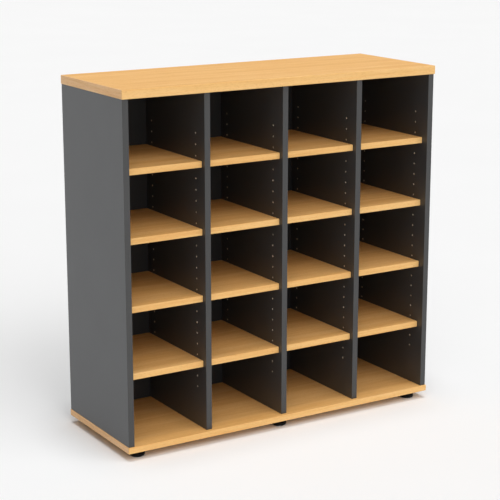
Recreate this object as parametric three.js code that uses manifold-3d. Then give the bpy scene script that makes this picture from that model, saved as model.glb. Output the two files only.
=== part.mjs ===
// A pigeonhole mail sorter: an open-fronted cabinet of faced boards, four pigeonholes wide and five high.
// Side panels and dividers are dowelled between a base and a thicker top, a thin back sits in grooves,
// loose shelves lie on pins pressed into drilled rows, and six screw feet level the cabinet.
//
// Millimetres, +Z up. The front faces -Y. The origin is on the floor under the middle of the cabinet.

import * as THREE from "three";
import { mergeGeometries, mergeVertices } from "three/addons/utils/BufferGeometryUtils.js";
import Module from "manifold-3d";

const wasm = await Module();
wasm.setup();

// Layout
const COLUMNS = 4; // pigeonholes across
const SHELVES_PER_COLUMN = 4; // the base and these shelves carry the pigeonholes of a column

// Cabinet
const CARCASS_WIDTH = 1036; // over the outer faces of the side panels
const CARCASS_DEPTH = 376; // side panels, front edge to rear edge
const UPRIGHT_HEIGHT = 972; // side panels and dividers, between the base and the top
const SIDE_OVERHANG = 2; // top and base past the outer face of each side panel
const FRONT_OVERHANG = 4; // top and base past the front edges of the side panels

// Boards
const TOP_THICKNESS = 25;
const BASE_THICKNESS = 18;
const SIDE_THICKNESS = 18;
const DIVIDER_THICKNESS = 18;
const SHELF_THICKNESS = 18;
const DIVIDER_SETBACK = 9; // divider front edges behind those of the side panels
const SHELF_SETBACK = 14; // shelf front edges behind those of the dividers
const SHELF_SIDE_GAP = 0.75; // between a shelf and the upright at each end
const SHELF_REAR_GAP = 1; // between a shelf and the back

// Back, held in grooves in the side panels, the base and the top
const BACK_THICKNESS = 4;
const BACK_INSET = 20; // rear face of the back, in from the rear edges of the boards
const BACK_TONGUE = 8; // how far the edges of the back enter the grooves
const GROOVE_CLEARANCE = 0.3;

// Drilled rows for the shelf pins
const HOLE_RADIUS = 2.5;
const HOLE_DEPTH = 8;
const HOLE_PITCH = 32;
const HOLE_END_MARGIN = 118; // least distance from the end of an upright to its first hole
const HOLE_ROW_INSET = 59; // rows from the front and rear edges of the side panels
const PIN_RADIUS = 4;
const PIN_LENGTH = 9; // out of the upright
const PIN_ROOT = 2; // into the upright that the pin is joined to
const PIN_CLEARANCE = 0.3; // under the shelf

// Dowels between the uprights and the boards above and below them
const DOWEL_RADIUS = 4;
const DOWEL_LENGTH = 30;
const DOWEL_IN_BOARD = 12; // part of the length that enters the top or the base
const DOWEL_CHAMFER = 1;
const DOWEL_FRONT_INSET = 90; // from the front edges of the side panels
const DOWEL_REAR_INSET = 110; // from the rear edges of the side panels
const DOWEL_CLEARANCE = 0.3;

// Screw feet: a pad that turns on the head of a threaded stem
const FOOT_HEIGHT = 23; // from the floor to the underside of the base, screwed right in
const FOOT_SIDE_INSET = 44; // from the outer faces of the side panels
const FOOT_FRONT_INSET = 36; // from the front edges of the side panels
const FOOT_REAR_INSET = 55; // from the rear edges of the side panels
const PAD_RADIUS = 22;
const PAD_HEIGHT = 14;
const PAD_RIM_HEIGHT = 10;
const PAD_ROUNDING = 6; // of the floor edge of the pad
const PAD_NECK_RADIUS = 10;
const PAD_FLOOR = 4; // pad material under the head of the stem
const STEM_RADIUS = 4;
const STEM_HEAD_RADIUS = 6.5;
const STEM_HEAD_HEIGHT = 3;
const STEM_END_GAP = 2; // between the top of the stem and the end of its bore
const COLLAR_SIDES = 6;
const COLLAR_ACROSS_FLATS = 13; // spanner size
const BORE_COVER = 4; // board left above the bore of the stem
const FOOT_CLEARANCE = 0.3;

// How finely round pieces are faceted
const HOLE_SIDES = 6;
const ROD_SIDES = 8;
const STEM_SIDES = 12;
const PAD_SIDES = 20;
const ROUNDING_STEPS = 3; // flats in a rounded edge
const OVERCUT = 1; // how far a cutting shape passes the face it cuts

// Heights
const baseTop = FOOT_HEIGHT + BASE_THICKNESS;
const topUnderside = baseTop + UPRIGHT_HEIGHT;
const topSurface = topUnderside + TOP_THICKNESS;

// Depths, with the boards of the top and the base centred on Y = 0
const rear = (CARCASS_DEPTH + FRONT_OVERHANG) / 2;
const boardFront = -rear;
const sideFront = boardFront + FRONT_OVERHANG;
const dividerFront = sideFront + DIVIDER_SETBACK;
const shelfFront = dividerFront + SHELF_SETBACK;
const backRear = rear - BACK_INSET;
const backFront = backRear - BACK_THICKNESS;
const shelfRear = backFront - SHELF_REAR_GAP;
const holeRows = [sideFront + HOLE_ROW_INSET, rear - HOLE_ROW_INSET];
const dowelRows = { front: sideFront + DOWEL_FRONT_INSET, rear: rear - DOWEL_REAR_INSET };
const footRows = { front: sideFront + FOOT_FRONT_INSET, rear: rear - FOOT_REAR_INSET };

// Widths
const boardHalf = CARCASS_WIDTH / 2 + SIDE_OVERHANG;
const sideCentre = (CARCASS_WIDTH - SIDE_THICKNESS) / 2;
const innerHalf = CARCASS_WIDTH / 2 - SIDE_THICKNESS;
const columnWidth = (2 * innerHalf - (COLUMNS - 1) * DIVIDER_THICKNESS) / COLUMNS;
const columnPitch = columnWidth + DIVIDER_THICKNESS;
const columnCentre = (column) => -innerHalf + columnWidth / 2 + column * columnPitch;
const dividerCentre = (divider) => columnCentre(divider) + columnPitch / 2;
const footOffset = CARCASS_WIDTH / 2 - FOOT_SIDE_INSET;
const footColumns = { left: -footOffset, middle: 0, right: footOffset };

// The drilled rows are centred in the height of an upright, and heights are from its lower end.
const holeCount = Math.floor((UPRIGHT_HEIGHT - 2 * HOLE_END_MARGIN) / HOLE_PITCH) + 1;
const firstHole = (UPRIGHT_HEIGHT - (holeCount - 1) * HOLE_PITCH) / 2;
const holeHeights = Array.from({ length: holeCount }, (_, hole) => firstHole + hole * HOLE_PITCH);

// The shelves share the height evenly, each on the pins of the hole nearest to its even share.
const seatHeight = PIN_RADIUS + PIN_CLEARANCE;
const evenClear = (UPRIGHT_HEIGHT - SHELVES_PER_COLUMN * SHELF_THICKNESS) / (SHELVES_PER_COLUMN + 1);
const pinHeights = Array.from({ length: SHELVES_PER_COLUMN }, (_, level) => {
  const evenUnderside = evenClear + level * (evenClear + SHELF_THICKNESS);
  const hole = Math.round((evenUnderside - seatHeight - firstHole) / HOLE_PITCH);
  return firstHole + hole * HOLE_PITCH;
});

// Materials
const charcoalBoard = new THREE.MeshStandardMaterial({ color: 0x4b4b4d, roughness: 0.6, metalness: 0 });
const beechBoard = new THREE.MeshStandardMaterial({ color: 0xe6bb7b, roughness: 0.5, metalness: 0 });
const beechDowel = new THREE.MeshStandardMaterial({ color: 0xd9b98c, roughness: 0.8, metalness: 0 });
const blackPlastic = new THREE.MeshStandardMaterial({ color: 0x1a1a1b, roughness: 0.55, metalness: 0 });
const zincSteel = new THREE.MeshStandardMaterial({ color: 0xb8babd, roughness: 0.35, metalness: 1 });

// A closed geometry as a solid that can be joined and cut.
function solidOf(geometry) {
  const bare = geometry.clone();
  bare.deleteAttribute("normal");
  bare.deleteAttribute("uv");
  const merged = mergeVertices(bare);
  const mesh = new wasm.Mesh({
    numProp: 3,
    vertProperties: merged.attributes.position.array,
    triVerts: new Uint32Array(merged.index.array),
  });
  return new wasm.Manifold(mesh);
}

// A solid as a geometry with flat faces.
function geometryOf(solid) {
  const mesh = solid.getMesh();
  const indexed = new THREE.BufferGeometry();
  indexed.setAttribute("position", new THREE.BufferAttribute(mesh.vertProperties, 3));
  indexed.setIndex(new THREE.BufferAttribute(mesh.triVerts, 1));
  const faceted = indexed.toNonIndexed();
  faceted.computeVertexNormals();
  return faceted;
}

// A geometry with other geometries cut out of it and then joined to it.
function worked(blank, cuts, additions = []) {
  let solid = solidOf(blank).subtract(solidOf(mergeGeometries(cuts)));
  if (additions.length > 0) {
    solid = solid.add(solidOf(mergeGeometries(additions)));
  }
  return geometryOf(solid);
}

// A box between two opposite corners.
function boxBetween([x0, y0, z0], [x1, y1, z1]) {
  const box = new THREE.BoxGeometry(x1 - x0, y1 - y0, z1 - z0);
  return box.translate((x0 + x1) / 2, (y0 + y1) / 2, (z0 + z1) / 2);
}

// A rod standing at (x, y) between two heights.
function standingRod(radius, sides, x, y, z0, z1) {
  const rod = new THREE.CylinderGeometry(radius, radius, z1 - z0, sides);
  return rod.rotateX(Math.PI / 2).translate(x, y, (z0 + z1) / 2);
}

// A rod lying across the cabinet at (y, z) between two places along X, with a corner on top.
function lyingRod(radius, sides, y, z, x0, x1) {
  const rod = new THREE.CylinderGeometry(radius, radius, Math.abs(x1 - x0), sides);
  return rod.rotateZ(Math.PI / 2).translate((x0 + x1) / 2, y, z);
}

// A turned piece from a profile of [radius, height] pairs that starts and ends on its axis.
function turned(profile, sides) {
  const points = profile.map(([radius, height]) => new THREE.Vector2(radius, height));
  return new THREE.LatheGeometry(points, sides).rotateX(Math.PI / 2);
}

// The drilled holes of one upright, and the pins in the holes that carry shelves.
// X = 0 is the middle of its thickness, and a face is -1 on the left or 1 on the right.
function drilledRows(thickness, faces) {
  const holes = [];
  const pins = [];
  for (const face of faces) {
    const surface = face * (thickness / 2);
    for (const y of holeRows) {
      for (const z of holeHeights.filter((height) => !pinHeights.includes(height))) {
        const end = surface - face * HOLE_DEPTH;
        holes.push(lyingRod(HOLE_RADIUS, HOLE_SIDES, y, z, end, surface + face * OVERCUT));
      }
      for (const z of pinHeights) {
        const root = surface - face * PIN_ROOT;
        pins.push(lyingRod(PIN_RADIUS, ROD_SIDES, y, z, root, surface + face * PIN_LENGTH));
      }
    }
  }
  return { holes, pins };
}

// The dowel holes in both ends of an upright.
function uprightDowelHoles() {
  const radius = DOWEL_RADIUS + DOWEL_CLEARANCE;
  const depth = DOWEL_LENGTH - DOWEL_IN_BOARD + DOWEL_CLEARANCE;
  return Object.values(dowelRows).flatMap((y) => [
    standingRod(radius, ROD_SIDES, 0, y, -OVERCUT, depth),
    standingRod(radius, ROD_SIDES, 0, y, UPRIGHT_HEIGHT - depth, UPRIGHT_HEIGHT + OVERCUT),
  ]);
}

// The groove for the back between two corners in X and Z.
function backGroove(x0, x1, z0, z1) {
  return boxBetween(
    [x0, backFront - GROOVE_CLEARANCE, z0],
    [x1, backRear + GROOVE_CLEARANCE, z1],
  );
}

// A side panel standing on Z = 0. Its inner face is 1 on the left panel and -1 on the right one.
function sidePanelGeometry(inner) {
  const half = SIDE_THICKNESS / 2;
  const blank = boxBetween([-half, sideFront, 0], [half, rear, UPRIGHT_HEIGHT]);
  const { holes, pins } = drilledRows(SIDE_THICKNESS, [inner]);
  const grooveEnd = inner * (half - BACK_TONGUE - GROOVE_CLEARANCE);
  const groove = backGroove(
    Math.min(grooveEnd, inner * (half + OVERCUT)),
    Math.max(grooveEnd, inner * (half + OVERCUT)),
    -OVERCUT,
    UPRIGHT_HEIGHT + OVERCUT,
  );
  return worked(blank, [...holes, ...uprightDowelHoles(), groove], pins);
}

// A divider standing on Z = 0, drilled from both faces.
function dividerGeometry() {
  const half = DIVIDER_THICKNESS / 2;
  const blank = boxBetween([-half, dividerFront, 0], [half, backFront, UPRIGHT_HEIGHT]);
  const { holes, pins } = drilledRows(DIVIDER_THICKNESS, [-1, 1]);
  return worked(blank, [...holes, ...uprightDowelHoles()], pins);
}

// The dowel holes in the top or the base, from the face at height `face` away from the uprights.
function boardDowelHoles(face, away) {
  const radius = DOWEL_RADIUS + DOWEL_CLEARANCE;
  const ends = [face - away * OVERCUT, face + away * (DOWEL_IN_BOARD + DOWEL_CLEARANCE)];
  return uprights.flatMap(({ x }) =>
    Object.values(dowelRows).map((y) =>
      standingRod(radius, ROD_SIDES, x, y, Math.min(...ends), Math.max(...ends)),
    ),
  );
}

// The top, grooved and drilled from below.
function topGeometry() {
  const blank = boxBetween([-boardHalf, boardFront, topUnderside], [boardHalf, rear, topSurface]);
  const reach = BACK_TONGUE + GROOVE_CLEARANCE;
  const groove = backGroove(
    -innerHalf - reach,
    innerHalf + reach,
    topUnderside - OVERCUT,
    topUnderside + reach,
  );
  return worked(blank, [...boardDowelHoles(topUnderside, 1), groove]);
}

// The base, grooved and drilled from above, and bored from below for the stems of the feet.
function baseGeometry() {
  const blank = boxBetween([-boardHalf, boardFront, FOOT_HEIGHT], [boardHalf, rear, baseTop]);
  const reach = BACK_TONGUE + GROOVE_CLEARANCE;
  const groove = backGroove(-innerHalf - reach, innerHalf + reach, baseTop - reach, baseTop + OVERCUT);
  const boreRadius = STEM_RADIUS + FOOT_CLEARANCE;
  const bores = Object.values(footRows).flatMap((y) =>
    Object.values(footColumns).map((x) =>
      standingRod(boreRadius, STEM_SIDES, x, y, FOOT_HEIGHT - OVERCUT, baseTop - BORE_COVER),
    ),
  );
  return worked(blank, [...boardDowelHoles(baseTop, -1), groove, ...bores]);
}

// The back, with its edges in the grooves.
function backGeometry() {
  const half = innerHalf + BACK_TONGUE;
  return boxBetween(
    [-half, backFront, baseTop - BACK_TONGUE],
    [half, backRear, topUnderside + BACK_TONGUE],
  );
}

// A shelf, with X = 0 in the middle of its column and its underside on Z = 0.
function shelfGeometry() {
  const half = columnWidth / 2 - SHELF_SIDE_GAP;
  return boxBetween([-half, shelfFront, 0], [half, shelfRear, SHELF_THICKNESS]);
}

// A dowel with chamfered ends, centred on the joint that it crosses.
function dowelGeometry() {
  const inUpright = DOWEL_LENGTH - DOWEL_IN_BOARD;
  const profile = [
    [0, -inUpright],
    [DOWEL_RADIUS - DOWEL_CHAMFER, -inUpright],
    [DOWEL_RADIUS, -inUpright + DOWEL_CHAMFER],
    [DOWEL_RADIUS, DOWEL_IN_BOARD - DOWEL_CHAMFER],
    [DOWEL_RADIUS - DOWEL_CHAMFER, DOWEL_IN_BOARD],
    [0, DOWEL_IN_BOARD],
  ];
  return turned(profile, ROD_SIDES);
}

// A foot pad on the floor, with a socket for the head of the stem.
function padGeometry() {
  const socketRadius = STEM_HEAD_RADIUS + FOOT_CLEARANCE;
  const socketTop = PAD_FLOOR + STEM_HEAD_HEIGHT + 2 * FOOT_CLEARANCE;
  const neckBore = STEM_RADIUS + FOOT_CLEARANCE;
  const floorEdge = Array.from({ length: ROUNDING_STEPS + 1 }, (_, step) => {
    const turn = ((step / ROUNDING_STEPS) * Math.PI) / 2;
    return [PAD_RADIUS - PAD_ROUNDING * (1 - Math.sin(turn)), PAD_ROUNDING * (1 - Math.cos(turn))];
  });
  const profile = [
    [0, 0],
    ...floorEdge,
    [PAD_RADIUS, PAD_RIM_HEIGHT],
    [PAD_NECK_RADIUS, PAD_HEIGHT],
    [neckBore, PAD_HEIGHT],
    [neckBore, socketTop],
    [socketRadius, socketTop],
    [socketRadius, PAD_FLOOR],
    [0, PAD_FLOOR],
  ];
  return turned(profile, PAD_SIDES);
}

// A threaded stem: a head in the pad, a collar with flats for a spanner, and a shank in the base.
function stemGeometry() {
  const headBottom = PAD_FLOOR + FOOT_CLEARANCE;
  const collarRadius = COLLAR_ACROSS_FLATS / 2 / Math.cos(Math.PI / COLLAR_SIDES);
  const shankTop = baseTop - BORE_COVER - STEM_END_GAP;
  const head = standingRod(STEM_HEAD_RADIUS, STEM_SIDES, 0, 0, headBottom, headBottom + STEM_HEAD_HEIGHT);
  const shank = standingRod(STEM_RADIUS, STEM_SIDES, 0, 0, headBottom + STEM_HEAD_HEIGHT / 2, shankTop);
  const collar = standingRod(
    collarRadius,
    COLLAR_SIDES,
    0,
    0,
    PAD_HEIGHT + FOOT_CLEARANCE,
    FOOT_HEIGHT - FOOT_CLEARANCE,
  );
  return geometryOf(solidOf(head).add(solidOf(shank)).add(solidOf(collar)));
}

const cabinet = new THREE.Group();

function place(name, geometry, material, x = 0, y = 0, z = 0) {
  const mesh = new THREE.Mesh(geometry, material.clone());
  mesh.name = name;
  mesh.position.set(x, y, z);
  cabinet.add(mesh);
}

// The uprights from left to right, each with the middle of its thickness.
const dividers = Array.from({ length: COLUMNS - 1 }, (_, divider) => ({
  name: `divider_${divider + 1}`,
  x: dividerCentre(divider),
}));
const uprights = [
  { name: "left_side_panel", x: -sideCentre },
  ...dividers,
  { name: "right_side_panel", x: sideCentre },
];

place("base_panel", baseGeometry(), beechBoard);
place("top_panel", topGeometry(), beechBoard);
place("back_panel", backGeometry(), charcoalBoard);
place("left_side_panel", sidePanelGeometry(1), charcoalBoard, -sideCentre, 0, baseTop);
place("right_side_panel", sidePanelGeometry(-1), charcoalBoard, sideCentre, 0, baseTop);
for (const { name, x } of dividers) {
  place(name, dividerGeometry(), charcoalBoard, x, 0, baseTop);
}

for (let column = 0; column < COLUMNS; column += 1) {
  pinHeights.forEach((height, level) => {
    const name = `shelf_column_${column + 1}_level_${level + 1}`;
    place(name, shelfGeometry(), beechBoard, columnCentre(column), 0, baseTop + height + seatHeight);
  });
}

// A dowel's longer part is in the upright, so the ones in the base stand on their heads.
for (const { name, x } of uprights) {
  for (const [row, y] of Object.entries(dowelRows)) {
    place(`dowel_top_${name}_${row}`, dowelGeometry(), beechDowel, x, y, topUnderside);
    place(`dowel_base_${name}_${row}`, dowelGeometry().rotateX(Math.PI), beechDowel, x, y, baseTop);
  }
}

for (const [row, y] of Object.entries(footRows)) {
  for (const [column, x] of Object.entries(footColumns)) {
    place(`foot_pad_${row}_${column}`, padGeometry(), blackPlastic, x, y);
    place(`foot_stem_${row}_${column}`, stemGeometry(), zincSteel, x, y);
  }
}

export default cabinet;
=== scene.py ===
import math
import bmesh
import bpy
from mathutils import Matrix, Vector


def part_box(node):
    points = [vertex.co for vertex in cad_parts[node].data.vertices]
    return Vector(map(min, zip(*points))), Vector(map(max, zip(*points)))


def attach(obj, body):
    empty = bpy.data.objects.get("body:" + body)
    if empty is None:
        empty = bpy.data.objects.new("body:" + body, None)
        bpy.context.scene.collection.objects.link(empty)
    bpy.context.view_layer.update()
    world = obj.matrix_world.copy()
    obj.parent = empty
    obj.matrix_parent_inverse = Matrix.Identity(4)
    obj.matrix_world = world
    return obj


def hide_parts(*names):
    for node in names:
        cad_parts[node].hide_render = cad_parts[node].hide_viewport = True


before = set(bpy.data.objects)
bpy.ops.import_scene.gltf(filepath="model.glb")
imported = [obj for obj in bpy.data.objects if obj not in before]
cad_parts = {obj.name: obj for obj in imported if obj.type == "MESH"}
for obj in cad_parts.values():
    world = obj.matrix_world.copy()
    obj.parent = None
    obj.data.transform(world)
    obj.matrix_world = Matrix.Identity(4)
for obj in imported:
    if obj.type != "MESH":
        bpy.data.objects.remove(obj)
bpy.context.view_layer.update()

# A pigeonhole mail sorter: a beech-faced top, base and loose shelves, charcoal uprights and back,
# shelf pins in drilled rows, dowels inside the joints, and screw feet that turn in threaded inserts.

MM = 0.001

# Boards
BEECH_EDGING = 2.0 * MM  # thickness of an edging strip
CHARCOAL_EDGING = 1.0 * MM
BEECH_ARRIS = 1.2 * MM  # size of an eased edge
CHARCOAL_ARRIS = 0.6 * MM
ARRIS_STEPS = 3
GROOVE_CLEARANCE = 0.3 * MM
OVERCUT = 1.0 * MM  # how far outside a face the drill starts

# Shelf holes and pins
HOLE_RADIUS = 2.5 * MM
HOLE_DEPTH = 8.0 * MM
HOLE_PITCH = 32.0 * MM
HOLE_ROW_INSET = 59.0 * MM  # from the front and rear edges of the side panels
HOLE_END_MARGIN = 118.0 * MM  # from the ends of the uprights
HOLE_SIDES = 18
PIN_RADIUS = 4.0 * MM
PIN_LENGTH = 9.0 * MM  # out of the upright
PIN_CLEARANCE = 0.3 * MM  # under the shelf
PIN_STUD_RADIUS = 2.4 * MM
PIN_STUD_LENGTH = 7.0 * MM  # into the hole
PIN_ROUNDING = 1.2 * MM
PIN_ROUNDING_STEPS = 3
PIN_SIDES = 16

# Dowels
DOWEL_CHAMFER = 1.0 * MM
DOWEL_FLUTES = 16
DOWEL_FLUTE_DEPTH = 0.3 * MM
FIT_PLAY = 0.05 * MM  # of a dowel in its hole, and of a stem in its insert

# Feet
PAD_FLOOR = 4.0 * MM  # pad material under the head of the stem
PAD_RIM_HEIGHT = 10.0 * MM
PAD_NECK_RADIUS = 10.0 * MM
PAD_NECK_DROP = 0.3 * MM  # of the slope beside the flat round the neck
PAD_ROUNDING = 6.0 * MM  # of the floor edge
PAD_ROUNDING_STEPS = 8
PAD_ARRIS = 1.5 * MM
PAD_ARRIS_STEPS = 3
PAD_SIDES = 64
FOOT_CLEARANCE = 0.3 * MM
STEM_RADIUS = 4.0 * MM
STEM_CORE_RADIUS = 3.35 * MM  # at the root of the thread
STEM_HEAD_RADIUS = 6.5 * MM
STEM_HEAD_HEIGHT = 3.0 * MM
STEM_POINT = 0.8 * MM  # chamfer at the upper end
STEM_SIDES = 32
COLLAR_ACROSS_FLATS = 13.0 * MM
COLLAR_SIDES = 6
COLLAR_CHAMFER = 0.6 * MM
COLLAR_CHAMFER_STEPS = 2
THREAD_PITCH = 1.25 * MM
THREAD_RIDGE = 0.8  # share of the pitch that the ridge takes up
THREAD_SINK = 0.05 * MM  # how deep the foot of the ridge lies in the core
THREAD_RUNOUT = 0.5 * MM  # plain shank above the collar
INSERT_RADIUS = 6.5 * MM
BORE_COVER = 4.0 * MM  # board left above an insert

# How meshes are finished
MERGE_DISTANCE = 0.001 * MM
CORNER_ANGLE = math.radians(60)  # an edge of a board that turns more than this is eased
CREASE_ANGLE = math.radians(35)  # an edge of a round piece that turns more than this stays sharp

# Marks in the wood: length along the grain and width across it
BEECH_BANDS = (800.0 * MM, 30.0 * MM)
BEECH_STREAKS = (140.0 * MM, 6.0 * MM)
BEECH_FLECKS = (9.0 * MM, 1.2 * MM)  # three times the real size, which would be too fine to show
DOWEL_STREAKS = (20.0 * MM, 1.2 * MM)

# Most of a noise pattern's values lie in this range
NOISE_RANGE = {"From Min": 0.3, "From Max": 0.7}

# Uprights from left to right, with the directions along X in which their drilled faces look
UPRIGHTS = {
    "left_side_panel": (1,),
    "divider_1": (-1, 1),
    "divider_2": (-1, 1),
    "divider_3": (-1, 1),
    "right_side_panel": (-1,),
}
COLUMNS = range(1, 5)
LEVELS = range(1, 5)
FEET = [f"{row}_{column}" for row in ("front", "rear") for column in ("left", "middle", "right")]
DOWELS = [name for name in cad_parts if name.startswith("dowel_")]


# Finishes

def linear(hex_colour):
    """An sRGB hex colour as the linear colour that a shader takes."""
    channels = [int(hex_colour[i:i + 2], 16) / 255 for i in (1, 3, 5)]
    return tuple(c / 12.92 if c <= 0.04045 else ((c + 0.055) / 1.055) ** 2.4 for c in channels) + (1.0,)


def add(tree, kind, inputs, stops=(), **settings):
    """Add one node: inputs that are sockets are linked, others are set, and stops are a ramp's colours."""
    node = tree.nodes.new(kind)
    for name, value in settings.items():
        setattr(node, name, value)
    for name, value in inputs.items():
        if isinstance(value, bpy.types.NodeSocket):
            tree.links.new(value, node.inputs[name])
        else:
            node.inputs[name].default_value = value
    for number, (position, colour) in enumerate(stops):
        elements = node.color_ramp.elements
        element = elements[number] if number < len(elements) else elements.new(position)
        element.position = position
        element.color = linear(colour)
    return node


def blank_material(name):
    """An empty material, its node tree and the coordinates of the piece that wears it."""
    material = bpy.data.materials.new(name)
    material.use_nodes = True
    tree = material.node_tree
    tree.nodes.clear()
    return material, tree, add(tree, "ShaderNodeTexCoord", {}).outputs["Object"]


def stretched(grain, marks):
    """Pattern scale for marks of a length and a width that lie along the grain's axis."""
    length, width = marks
    return tuple(1 / length if axis == grain else 1 / width for axis in "XYZ")


def beech_foil(name, grain, ray, dark, middle, light, gloss):
    """Board faced with melamine paper that is printed as steamed beech: soft bands and streaks
    along the grain, short darker ray flecks and a satin sheen with the grain pressed into it."""
    material, tree, place = blank_material(name)
    wide = add(tree, "ShaderNodeMapping", {"Vector": place, "Scale": stretched(grain, BEECH_BANDS)})
    bands = add(tree, "ShaderNodeTexNoise", {
        "Vector": wide.outputs[0], "Scale": 1.0, "Detail": 3.0, "Roughness": 0.5, "Distortion": 0.5})
    long = add(tree, "ShaderNodeMapping", {"Vector": place, "Scale": stretched(grain, BEECH_STREAKS)})
    streaks = add(tree, "ShaderNodeTexNoise", {
        "Vector": long.outputs[0], "Scale": 1.0, "Detail": 5.0, "Roughness": 0.65, "Distortion": 0.3})
    short = add(tree, "ShaderNodeMapping", {"Vector": place, "Scale": stretched(grain, BEECH_FLECKS)})
    flecks = add(tree, "ShaderNodeTexNoise", {
        "Vector": short.outputs[0], "Scale": 1.0, "Detail": 1.0, "Roughness": 0.5, "Distortion": 0.0})
    both = add(tree, "ShaderNodeMath", {0: bands.outputs["Fac"], 1: streaks.outputs["Fac"]}, operation="ADD")
    figure = add(tree, "ShaderNodeMath", {0: both.outputs[0], 1: 0.5}, operation="MULTIPLY")
    print_colour = add(tree, "ShaderNodeValToRGB", {"Fac": figure.outputs[0]},
                       stops=((0.38, dark), (0.62, light), (0.5, middle)))
    fleck = add(tree, "ShaderNodeMapRange", {
        "Value": flecks.outputs["Fac"], "From Min": 0.60, "From Max": 0.68, "To Min": 0.0, "To Max": 0.45})
    # Inputs 0, 6 and 7 of the mix are its factor and its two colours.
    colour = add(tree, "ShaderNodeMix", {
        0: fleck.outputs[0], 6: print_colour.outputs[0], 7: linear(ray)}, data_type="RGBA")
    roughness = add(tree, "ShaderNodeMapRange", {
        "Value": streaks.outputs["Fac"], **NOISE_RANGE, "To Min": 0.64, "To Max": 0.54})
    relief = add(tree, "ShaderNodeMath", {
        0: streaks.outputs["Fac"], 1: fleck.outputs[0]}, operation="SUBTRACT")
    bump = add(tree, "ShaderNodeBump", {
        "Height": relief.outputs[0], "Strength": 0.25, "Distance": 0.12 * MM})
    shader = add(tree, "ShaderNodeBsdfPrincipled", {
        "Base Color": colour.outputs[2], "Roughness": roughness.outputs[0], "Normal": bump.outputs[0],
        "IOR": 1.5, "Specular IOR Level": gloss})
    add(tree, "ShaderNodeOutputMaterial", {"Surface": shader.outputs[0]})
    return material


def charcoal_foil(name, dark, light, pearl, roughness_low, roughness_high, ior):
    """Dark grey melamine facing with a fine pearl texture: near black head on, and a soft grey
    sheen where it is seen along its face. The pearl is about 0.5 mm and is drawn coarser to show."""
    material, tree, place = blank_material(name)
    cloud = add(tree, "ShaderNodeTexNoise", {
        "Vector": place, "Scale": 1 / (120 * MM), "Detail": 3.0, "Roughness": 0.5})
    grit = add(tree, "ShaderNodeTexNoise", {
        "Vector": place, "Scale": 1 / pearl, "Detail": 2.0, "Roughness": 0.6})
    both = add(tree, "ShaderNodeMath", {0: cloud.outputs["Fac"], 1: grit.outputs["Fac"]}, operation="ADD")
    mottle = add(tree, "ShaderNodeMath", {0: both.outputs[0], 1: 0.5}, operation="MULTIPLY")
    colour = add(tree, "ShaderNodeValToRGB", {"Fac": mottle.outputs[0]},
                 stops=((0.35, dark), (0.65, light)))
    roughness = add(tree, "ShaderNodeMapRange", {
        "Value": grit.outputs["Fac"], **NOISE_RANGE, "To Min": roughness_low, "To Max": roughness_high})
    bump = add(tree, "ShaderNodeBump", {
        "Height": grit.outputs["Fac"], "Strength": 0.3, "Distance": 0.1 * MM})
    shader = add(tree, "ShaderNodeBsdfPrincipled", {
        "Base Color": colour.outputs[0], "Roughness": roughness.outputs[0], "Normal": bump.outputs[0],
        "IOR": ior})
    add(tree, "ShaderNodeOutputMaterial", {"Surface": shader.outputs[0]})
    return material


def raw_chipboard():
    """Bare chipboard inside holes and grooves: pale pressed wood flakes of mixed tans, quite matt."""
    material, tree, place = blank_material("raw_chipboard")
    flakes = add(tree, "ShaderNodeTexVoronoi", {"Vector": place, "Scale": 1 / (2.2 * MM), "Randomness": 1.0})
    dust = add(tree, "ShaderNodeTexNoise", {"Vector": place, "Scale": 1 / (0.8 * MM), "Detail": 2.0})
    colour = add(tree, "ShaderNodeValToRGB", {"Fac": flakes.outputs["Color"]},
                 stops=((0.1, "#CDBDA3"), (0.9, "#F0E6D6")))
    bump = add(tree, "ShaderNodeBump", {
        "Height": dust.outputs["Fac"], "Strength": 0.5, "Distance": 0.3 * MM})
    shader = add(tree, "ShaderNodeBsdfPrincipled", {
        "Base Color": colour.outputs[0], "Roughness": 0.9, "Normal": bump.outputs[0], "IOR": 1.5})
    add(tree, "ShaderNodeOutputMaterial", {"Surface": shader.outputs[0]})
    return material


def bare_beech():
    """Machined dowel of unfinished beech: straight pale grain with darker streaks along it, matt."""
    material, tree, place = blank_material("bare_beech")
    long = add(tree, "ShaderNodeMapping", {"Vector": place, "Scale": stretched("Z", DOWEL_STREAKS)})
    grain = add(tree, "ShaderNodeTexNoise", {"Vector": long.outputs[0], "Scale": 1.0, "Detail": 3.0})
    colour = add(tree, "ShaderNodeValToRGB", {"Fac": grain.outputs["Fac"]},
                 stops=((0.35, "#C79D6C"), (0.65, "#E0BD8E")))
    bump = add(tree, "ShaderNodeBump", {
        "Height": grain.outputs["Fac"], "Strength": 0.3, "Distance": 0.1 * MM})
    shader = add(tree, "ShaderNodeBsdfPrincipled", {
        "Base Color": colour.outputs[0], "Roughness": 0.7, "Normal": bump.outputs[0], "IOR": 1.5})
    add(tree, "ShaderNodeOutputMaterial", {"Surface": shader.outputs[0]})
    return material


def plated_steel(name, dark, light, roughness_low, roughness_high):
    """Plated steel hardware: an even metal shine, clouded a little where the plating took unevenly."""
    material, tree, place = blank_material(name)
    cloud = add(tree, "ShaderNodeTexNoise", {
        "Vector": place, "Scale": 1 / (4 * MM), "Detail": 3.0, "Roughness": 0.6})
    colour = add(tree, "ShaderNodeValToRGB", {"Fac": cloud.outputs["Fac"]},
                 stops=((0.35, dark), (0.65, light)))
    roughness = add(tree, "ShaderNodeMapRange", {
        "Value": cloud.outputs["Fac"], **NOISE_RANGE, "To Min": roughness_low, "To Max": roughness_high})
    shader = add(tree, "ShaderNodeBsdfPrincipled", {
        "Base Color": colour.outputs[0], "Metallic": 1.0, "Roughness": roughness.outputs[0]})
    add(tree, "ShaderNodeOutputMaterial", {"Surface": shader.outputs[0]})
    return material


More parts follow.
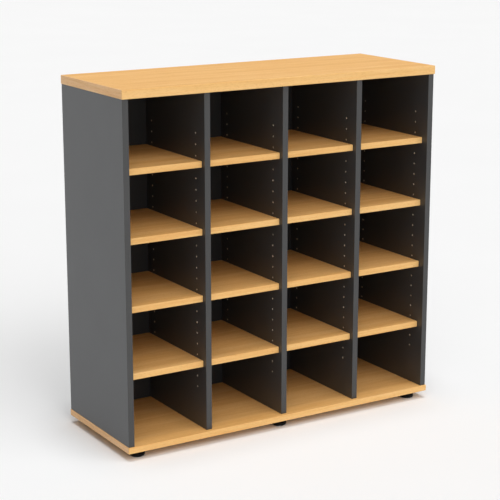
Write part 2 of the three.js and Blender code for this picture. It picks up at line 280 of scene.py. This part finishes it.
def moulded_black():
    """Moulded black polypropylene: a waxy semi-matt black with a fine spark-eroded grain, which is
    about 0.2 mm and is drawn coarser to show."""
    material, tree, place = blank_material("moulded_black_polypropylene")
    grit = add(tree, "ShaderNodeTexNoise", {"Vector": place, "Scale": 1 / (0.9 * MM), "Detail": 2.0})
    wear = add(tree, "ShaderNodeTexNoise", {"Vector": place, "Scale": 1 / (12 * MM), "Detail": 3.0})
    colour = add(tree, "ShaderNodeValToRGB", {"Fac": wear.outputs["Fac"]},
                 stops=((0.35, "#09090A"), (0.7, "#111112")))
    roughness = add(tree, "ShaderNodeMapRange", {
        "Value": wear.outputs["Fac"], **NOISE_RANGE, "To Min": 0.42, "To Max": 0.56})
    bump = add(tree, "ShaderNodeBump", {
        "Height": grit.outputs["Fac"], "Strength": 0.3, "Distance": 0.08 * MM})
    shader = add(tree, "ShaderNodeBsdfPrincipled", {
        "Base Color": colour.outputs[0], "Roughness": roughness.outputs[0], "Normal": bump.outputs[0],
        "IOR": 1.49, "Specular IOR Level": 0.1})
    add(tree, "ShaderNodeOutputMaterial", {"Surface": shader.outputs[0]})
    return material


BEECH_FACE = beech_foil("beech_melamine", "X", "#CE9451", "#E2AB63", "#EBB670", "#F0BF7D", 0.1)
BEECH_EDGE = beech_foil("beech_edging", "X", "#D69B57", "#EAB36C", "#F2C079", "#F5C684", 0.25)
BEECH_END = beech_foil("beech_end_edging", "Y", "#CC9A66", "#DFAC76", "#F1C089", "#F6CB9A", 0.35)
CHARCOAL_FACE = charcoal_foil("charcoal_melamine", "#2D2F31", "#343638", 1.6 * MM, 0.42, 0.52, 1.78)
CHARCOAL_EDGE = charcoal_foil("charcoal_edging", "#3A3A3A", "#404040", 1.1 * MM, 0.4, 0.48, 1.5)
CHARCOAL_BACK = charcoal_foil("charcoal_backing_board", "#222426", "#292B2D", 2.4 * MM, 0.5, 0.62, 1.5)
CHIPBOARD = raw_chipboard()
DOWEL_BEECH = bare_beech()
NICKEL = plated_steel("nickel_plated_steel", "#BDB8AE", "#D2CEC6", 0.2, 0.32)
ZINC = plated_steel("zinc_plated_steel", "#A9ADB3", "#C6CACF", 0.28, 0.42)
BLACK_PLASTIC = moulded_black()


# Ways of making a piece

def piece(name, bm, finishes, body, nodes=()):
    """Turn a finished bmesh into a piece that rides on a body."""
    mesh = bpy.data.meshes.new(name)
    bm.to_mesh(mesh)
    bm.free()
    for finish in finishes:
        mesh.materials.append(finish)
    made = bpy.data.objects.new(name, mesh)
    bpy.context.scene.collection.objects.link(made)
    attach(made, body)
    if nodes:
        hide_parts(*nodes)
    return made


def soften(made):
    """Shade the round parts of a piece smooth, and keep its corners sharp."""
    made.data.shade_smooth()
    made.data.set_sharp_from_angle(angle=CREASE_ANGLE)


def combine(made, shape, operation, finish):
    """Join a closed shape to a piece (UNION), or take it out of the piece (DIFFERENCE).
    The faces that the shape leaves behind have the finish."""
    mesh = bpy.data.meshes.new("shape")
    shape.to_mesh(mesh)
    shape.free()
    mesh.materials.append(finish)
    tool = bpy.data.objects.new("shape", mesh)
    bpy.context.scene.collection.objects.link(tool)
    boolean = made.modifiers.new("combine", "BOOLEAN")
    boolean.operation = operation
    boolean.solver = "EXACT"
    boolean.material_mode = "TRANSFER"
    boolean.object = tool
    bpy.context.view_layer.update()
    finished = bpy.data.meshes.new_from_object(made.evaluated_get(bpy.context.evaluated_depsgraph_get()))
    made.modifiers.remove(boolean)
    whole = made.data
    made.data = finished
    bpy.data.meshes.remove(whole)
    finished.name = made.name
    bpy.data.objects.remove(tool)
    bpy.data.meshes.remove(mesh)


def block(bm, low, high):
    """Add a square block between two corners."""
    place = Matrix.Translation((low + high) / 2) @ Matrix.Diagonal((*(high - low), 1.0))
    bmesh.ops.create_cube(bm, size=1.0, matrix=place)


def rod(bm, radius, start, end, sides):
    """Add a closed round rod between two points."""
    run = end - start
    place = Matrix.Translation((start + end) / 2) @ run.to_track_quat("Z", "Y").to_matrix().to_4x4()
    bmesh.ops.create_cone(bm, cap_ends=True, segments=sides, radius1=radius, radius2=radius,
                          depth=run.length, matrix=place)


def drill(bm, mouth, inward, radius, depth, sides):
    """Add the round shape that a drill takes out of a board, starting just outside its face."""
    rod(bm, radius, mouth - inward * OVERCUT, mouth + inward * depth, sides)


def turned(bm, profile, place, sides, ring=False):
    """Add a turned shape: a profile of (radius, height) points spun round the Z axis, then put in place.
    The profile starts and ends on the axis, or closes on itself as a ring."""
    before = set(bm.verts)
    points = [bm.verts.new((radius, 0.0, height)) for radius, height in profile]
    lines = [bm.edges.new(pair) for pair in zip(points, points[1:])]
    if ring:
        lines.append(bm.edges.new((points[-1], points[0])))
    bmesh.ops.spin(bm, geom=points + lines, cent=(0, 0, 0), axis=(0, 0, 1), dvec=(0, 0, 0),
                   angle=math.tau, steps=sides, use_merge=True, use_duplicate=False)
    bmesh.ops.remove_doubles(bm, verts=[v for v in bm.verts if v not in before], dist=MERGE_DISTANCE)
    new = [v for v in bm.verts if v not in before]
    bmesh.ops.recalc_face_normals(bm, faces=bm.faces[:])
    bmesh.ops.transform(bm, matrix=place, verts=new)
    return new


def quarter_round(radius, height, size, start, steps):
    """Profile points of a quarter circle about (radius, height), anticlockwise from an angle in degrees."""
    turns = [math.radians(start + 90 * step / steps) for step in range(steps + 1)]
    return [(radius + size * math.cos(turn), height + size * math.sin(turn)) for turn in turns]


# Top, base and shelves

# Edged sides of a board: an axis, a direction along it, and the number of the strip's finish
LEFT = (0, -1, 2)
RIGHT = (0, 1, 2)
FRONT = (1, -1, 1)
REAR = (1, 1, 1)


def board(low, high, edged, edging, arris):
    """A board with edging strips let into its edged sides, and its edges eased."""
    bm = bmesh.new()
    block(bm, low, high)
    for axis, side, _ in edged:
        normal = Vector([float(axis == i) for i in range(3)])
        seam = (high if side > 0 else low) - normal * side * edging
        bmesh.ops.bisect_plane(bm, geom=bm.verts[:] + bm.edges[:] + bm.faces[:], plane_co=seam,
                               plane_no=normal)
    corners = [edge for edge in bm.edges if edge.calc_face_angle() > CORNER_ANGLE]
    bmesh.ops.bevel(bm, geom=corners, offset=arris, offset_type="OFFSET", affect="EDGES",
                    segments=ARRIS_STEPS, profile=0.5, material=-1, clamp_overlap=True)
    for face in bm.faces:
        centre = face.calc_center_median()
        for axis, side, finish in edged:
            depth = (high[axis] - centre[axis]) if side > 0 else (centre[axis] - low[axis])
            if depth < edging:
                face.material_index = finish
    return bm


def beech_board(name, body):
    """A beech-faced board in place of its solid, edged all round."""
    low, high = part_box(name)
    shape = board(low, high, (LEFT, RIGHT, FRONT, REAR), BEECH_EDGING, BEECH_ARRIS)
    finishes = (BEECH_FACE, BEECH_EDGE, BEECH_END)
    return piece(name + "_board", shape, finishes, body, (name,))


def foot_middle(foot):
    """The point on the floor under the middle of a foot."""
    low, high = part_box("foot_pad_" + foot)
    return Vector(((low.x + high.x) / 2, (low.y + high.y) / 2, 0.0))


def dowel_holes(bm, name):
    """Add the holes for the dowels that reach into a board."""
    low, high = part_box(name)
    for dowel in DOWELS:
        start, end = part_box(dowel)
        middle = (start + end) / 2
        if low.x < middle.x < high.x and start.z < high.z and end.z > low.z:
            bottom = Vector((middle.x, middle.y, start.z))
            top = Vector((middle.x, middle.y, end.z))
            rod(bm, (end.x - start.x) / 2 + FIT_PLAY, bottom, top, HOLE_SIDES)


def back_groove(bm):
    """Add the groove that holds the edges of the back."""
    low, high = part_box("back_panel")
    room = Vector((GROOVE_CLEARANCE, GROOVE_CLEARANCE, GROOVE_CLEARANCE))
    block(bm, low - room, high + room)


def insert_bores(bm):
    """Add the bores in the underside of the base that the threaded inserts are pressed into."""
    low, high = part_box("base_panel")
    for foot in FEET:
        mouth = foot_middle(foot) + Vector((0, 0, low.z))
        drill(bm, mouth, Vector((0, 0, 1)), INSERT_RADIUS, high.z - low.z - BORE_COVER, STEM_SIDES)


for name in ("top_panel", "base_panel"):
    made = beech_board(name, "cabinet")
    cuts = bmesh.new()
    back_groove(cuts)
    dowel_holes(cuts, name)
    if name == "base_panel":
        insert_bores(cuts)
    combine(made, cuts, "DIFFERENCE", CHIPBOARD)

for column in COLUMNS:
    for level in LEVELS:
        name = f"shelf_column_{column}_level_{level}"
        beech_board(name, name)


# Uprights, their drilled rows and the shelf pins

side_low, side_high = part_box("left_side_panel")
hole_rows = (side_low.y + HOLE_ROW_INSET, side_high.y - HOLE_ROW_INSET)
hole_count = round((side_high.z - side_low.z - 2 * HOLE_END_MARGIN) / HOLE_PITCH) + 1
first_hole = (side_low.z + side_high.z - (hole_count - 1) * HOLE_PITCH) / 2
hole_heights = [first_hole + number * HOLE_PITCH for number in range(hole_count)]
shelf_undersides = [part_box(f"shelf_column_1_level_{level}")[0].z for level in LEVELS]
pin_heights = [underside - PIN_CLEARANCE - PIN_RADIUS for underside in shelf_undersides]
pin_end = quarter_round(
    PIN_RADIUS - PIN_ROUNDING, PIN_LENGTH - PIN_ROUNDING, PIN_ROUNDING, 0, PIN_ROUNDING_STEPS)
pin_profile = (
    (0, -PIN_STUD_LENGTH), (PIN_STUD_RADIUS, -PIN_STUD_LENGTH), (PIN_STUD_RADIUS, 0), (PIN_RADIUS, 0),
    *pin_end, (0, PIN_LENGTH))


def upright(name, drilled):
    """A side panel or a divider with its drilled faces, and the pins pressed into them."""
    low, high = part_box(name)
    faces = {}
    for side in drilled:
        # The solid holds its pins, so its box ends at their tips.
        if side > 0:
            high.x -= PIN_LENGTH
            faces[side] = high.x
        else:
            low.x += PIN_LENGTH
            faces[side] = low.x
    shape = board(low, high, (FRONT, REAR), CHARCOAL_EDGING, CHARCOAL_ARRIS)
    finishes = (CHARCOAL_FACE, CHARCOAL_EDGE)
    made = piece(name + "_board", shape, finishes, "cabinet", (name,))
    cuts = bmesh.new()
    pins = bmesh.new()
    for side, face in faces.items():
        outward = Vector((side, 0, 0))
        lie = outward.to_track_quat("Z", "Y").to_matrix().to_4x4()
        for row in hole_rows:
            for height in hole_heights:
                drill(cuts, Vector((face, row, height)), -outward, HOLE_RADIUS, HOLE_DEPTH, HOLE_SIDES)
            for height in pin_heights:
                turned(pins, pin_profile, Matrix.Translation((face, row, height)) @ lie, PIN_SIDES)
    dowel_holes(cuts, name)
    if name.endswith("side_panel"):
        back_groove(cuts)
    combine(made, cuts, "DIFFERENCE", CHIPBOARD)
    soften(piece("shelf_pins_" + name, pins, (NICKEL,), "cabinet"))


for name, drilled in UPRIGHTS.items():
    upright(name, drilled)


# Feet

def levelling_pad(foot):
    """A black pad with a rounded floor edge, and a socket that the head of the stem turns in."""
    node = "foot_pad_" + foot
    low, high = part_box(node)
    radius = (high.x - low.x) / 2
    socket_radius = STEM_HEAD_RADIUS + FOOT_CLEARANCE
    socket_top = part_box("foot_stem_" + foot)[0].z + STEM_HEAD_HEIGHT + FOOT_CLEARANCE
    neck_bore = STEM_RADIUS + FOOT_CLEARANCE
    floor_edge = quarter_round(radius - PAD_ROUNDING, PAD_ROUNDING, PAD_ROUNDING, -90, PAD_ROUNDING_STEPS)
    rim = quarter_round(radius - PAD_ARRIS, PAD_RIM_HEIGHT - PAD_ARRIS, PAD_ARRIS, 0, PAD_ARRIS_STEPS)
    profile = (
        (0, 0), *floor_edge, *rim, (PAD_NECK_RADIUS + PAD_ARRIS, high.z - PAD_NECK_DROP),
        (PAD_NECK_RADIUS, high.z), (neck_bore, high.z), (neck_bore, socket_top),
        (socket_radius, socket_top), (socket_radius, PAD_FLOOR), (0, PAD_FLOOR))
    pad = bmesh.new()
    turned(pad, profile, Matrix.Translation(foot_middle(foot)), PAD_SIDES)
    soften(piece("levelling_pad_" + foot, pad, (BLACK_PLASTIC,), node, (node,)))


def thread(low, high, place):
    """A screw thread: a three-cornered ridge carried up round the Z axis, closed at both ends.
    It starts half a step round, so that its edges miss those of the stem that it is joined to."""
    root = STEM_CORE_RADIUS - THREAD_SINK
    width = THREAD_RIDGE * THREAD_PITCH
    bm = bmesh.new()
    section = ((root, 0, 0), (STEM_RADIUS, 0, width / 2), (root, 0, width))
    start = [bm.verts.new(corner) for corner in section]
    lines = [bm.edges.new((start[i], start[i - 1])) for i in range(3)]
    turns = int((high - low) / THREAD_PITCH) - 1
    swept = bmesh.ops.spin(bm, geom=start + lines, cent=(0, 0, 0), axis=(0, 0, 1),
                           dvec=(0, 0, THREAD_PITCH / STEM_SIDES), angle=math.tau * turns,
                           steps=STEM_SIDES * turns, use_merge=False, use_duplicate=False)
    end = [part for part in swept["geom_last"] if isinstance(part, bmesh.types.BMVert)]
    bmesh.ops.contextual_create(bm, geom=start)
    bmesh.ops.contextual_create(bm, geom=end)
    bmesh.ops.recalc_face_normals(bm, faces=bm.faces[:])
    half_step = Matrix.Rotation(math.pi / STEM_SIDES, 4, "Z")
    bmesh.ops.transform(bm, matrix=place @ Matrix.Translation((0, 0, low)) @ half_step, verts=bm.verts[:])
    return bm


def collar(low, high):
    """A hexagon collar between two points, with its edges chamfered."""
    bm = bmesh.new()
    rod(bm, COLLAR_ACROSS_FLATS / 2 / math.cos(math.pi / COLLAR_SIDES), low, high, COLLAR_SIDES)
    bmesh.ops.bevel(bm, geom=bm.edges[:], offset=COLLAR_CHAMFER, offset_type="OFFSET", affect="EDGES",
                    segments=COLLAR_CHAMFER_STEPS, profile=0.5, material=-1, clamp_overlap=True)
    return bm


def levelling_stem(foot):
    """A plated stem: a head in the pad, a collar for a spanner, and a threaded shank in the insert."""
    node = "foot_stem_" + foot
    low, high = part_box(node)
    middle = foot_middle(foot)
    stand = Matrix.Translation(middle)
    head_top = low.z + STEM_HEAD_HEIGHT
    profile = (
        (0, low.z), (STEM_HEAD_RADIUS, low.z), (STEM_HEAD_RADIUS, head_top), (STEM_CORE_RADIUS, head_top),
        (STEM_CORE_RADIUS, high.z - STEM_POINT), (STEM_CORE_RADIUS - STEM_POINT, high.z), (0, high.z))
    core = bmesh.new()
    turned(core, profile, stand, STEM_SIDES)
    made = piece("levelling_stem_" + foot, core, (ZINC,), node, (node,))
    collar_low = middle + Vector((0, 0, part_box("foot_pad_" + foot)[1].z + FOOT_CLEARANCE))
    collar_high = middle + Vector((0, 0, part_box("base_panel")[0].z - FOOT_CLEARANCE))
    combine(made, collar(collar_low, collar_high), "UNION", ZINC)
    combine(made, thread(collar_high.z + THREAD_RUNOUT, high.z, stand), "UNION", ZINC)
    soften(made)


def threaded_insert(foot):
    """A plated bush in the base that the stem screws into."""
    low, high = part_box("base_panel")
    bore = STEM_RADIUS + FIT_PLAY
    top = high.z - BORE_COVER
    bush = bmesh.new()
    turned(bush, ((bore, low.z), (INSERT_RADIUS, low.z), (INSERT_RADIUS, top), (bore, top)),
           Matrix.Translation(foot_middle(foot)), STEM_SIDES, ring=True)
    soften(piece("threaded_insert_" + foot, bush, (ZINC,), "cabinet"))


for foot in FEET:
    levelling_pad(foot)
    levelling_stem(foot)
    threaded_insert(foot)


# Dowels

def fluted_dowel(name):
    """A dowel with chamfered ends and flutes pressed along it."""
    low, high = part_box(name)
    middle = (low + high) / 2
    radius = (high.x - low.x) / 2 - FIT_PLAY
    profile = (
        (0, low.z), (radius - DOWEL_CHAMFER, low.z), (radius, low.z + DOWEL_CHAMFER),
        (radius, high.z - DOWEL_CHAMFER), (radius - DOWEL_CHAMFER, high.z), (0, high.z))
    peg = bmesh.new()
    points = turned(peg, profile, Matrix(), 2 * DOWEL_FLUTES)
    # The points stand in columns numbered by their angle, and every odd column is drawn in.
    flutes = [v for v in points if round(math.atan2(v.co.y, v.co.x) * DOWEL_FLUTES / math.pi) % 2]
    inward = 1 - DOWEL_FLUTE_DEPTH / radius
    bmesh.ops.scale(peg, vec=(inward, inward, 1), verts=flutes)
    bmesh.ops.translate(peg, vec=(middle.x, middle.y, 0), verts=peg.verts[:])
    soften(piece("fluted_" + name, peg, (DOWEL_BEECH,), "cabinet", (name,)))


for name in DOWELS:
    fluted_dowel(name)


# Back, whose solid already has the right shape

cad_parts["back_panel"].data.materials.clear()
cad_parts["back_panel"].data.materials.append(CHARCOAL_BACK)


# Floor, light and camera

FLOOR_SIZE = 80.0  # metres
ROOM_LIGHT = 0.15  # strength of the room's own light
# Lamps: a name, the direction that the light comes from, its spread in degrees, and its strength
LAMPS = (
    ("front_softbox", Vector((0, -1, 1)), 80, 1.43),
    ("front_spot", Vector((0, -1, 1)), 25, 0.40),
    ("overhead_softbox", Vector((0, -0.02, 1)), 20, 1.37),
)
CAMERA_PLACE = (-2.2978, -3.7164, 1.5709)  # metres
CAMERA_TILT = 13.75  # degrees below level
CAMERA_TURN = 31.63  # degrees to the right of square-on
CAMERA_LENS = 108.7  # focal length in millimetres
CAMERA_SENSOR = 36.0  # width in millimetres
CAMERA_REACH = 200.0  # metres


def studio_floor():
    """Matt white studio floor: even paper white with the faintest cloudiness."""
    material, tree, place = blank_material("white_studio_floor")
    cloud = add(tree, "ShaderNodeTexNoise", {"Vector": place, "Scale": 1 / (800 * MM), "Detail": 2.0})
    tone = add(tree, "ShaderNodeValToRGB", {"Fac": cloud.outputs["Fac"]},
               stops=((0.3, "#F8F8F8"), (0.7, "#F9F9F9")))
    shader = add(tree, "ShaderNodeBsdfPrincipled", {
        "Base Color": tone.outputs[0], "Roughness": 1.0, "Specular IOR Level": 0.0})
    add(tree, "ShaderNodeOutputMaterial", {"Surface": shader.outputs[0]})
    sheet = bmesh.new()
    bmesh.ops.create_grid(sheet, x_segments=2, y_segments=2, size=FLOOR_SIZE / 2)
    mesh = bpy.data.meshes.new("floor")
    sheet.to_mesh(mesh)
    sheet.free()
    mesh.materials.append(material)
    floor = bpy.data.objects.new("floor", mesh)
    bpy.context.scene.collection.objects.link(floor)


def studio_world():
    """A dim white room that the eye and shiny surfaces see as a pale backdrop."""
    world = bpy.data.worlds.new("studio")
    world.use_nodes = True
    tree = world.node_tree
    tree.nodes.clear()
    path = add(tree, "ShaderNodeLightPath", {})
    direct = add(tree, "ShaderNodeMath", {
        0: path.outputs["Is Camera Ray"], 1: path.outputs["Is Glossy Ray"]}, operation="MAXIMUM")
    seen = add(tree, "ShaderNodeMath", {
        0: direct.outputs[0], 1: path.outputs["Is Transmission Ray"]}, operation="MAXIMUM")
    fill = add(tree, "ShaderNodeBackground", {"Color": linear("#FFFFFF"), "Strength": ROOM_LIGHT})
    backdrop = add(tree, "ShaderNodeBackground", {"Color": linear("#F8F8F8"), "Strength": 1.0})
    both = add(tree, "ShaderNodeMixShader", {
        0: seen.outputs[0], 1: fill.outputs[0], 2: backdrop.outputs[0]})
    add(tree, "ShaderNodeOutputWorld", {"Surface": both.outputs[0]})
    return world


scene = bpy.context.scene
scene.view_settings.view_transform = "Standard"
scene.world = studio_world()
studio_floor()

for name, towards, spread, strength in LAMPS:
    lamp = bpy.data.objects.new(name, bpy.data.lights.new(name, "SUN"))
    lamp.data.energy = strength
    lamp.data.angle = math.radians(spread)
    lamp.rotation_euler = towards.to_track_quat("Z", "Y").to_euler()
    scene.collection.objects.link(lamp)

camera = bpy.data.objects.new("camera", bpy.data.cameras.new("camera"))
camera.data.sensor_width = CAMERA_SENSOR
camera.data.lens = CAMERA_LENS
camera.data.clip_end = CAMERA_REACH
camera.location = CAMERA_PLACE
camera.rotation_euler = (math.radians(90 - CAMERA_TILT), 0.0, math.radians(-CAMERA_TURN))
scene.collection.objects.link(camera)
scene.camera = camera
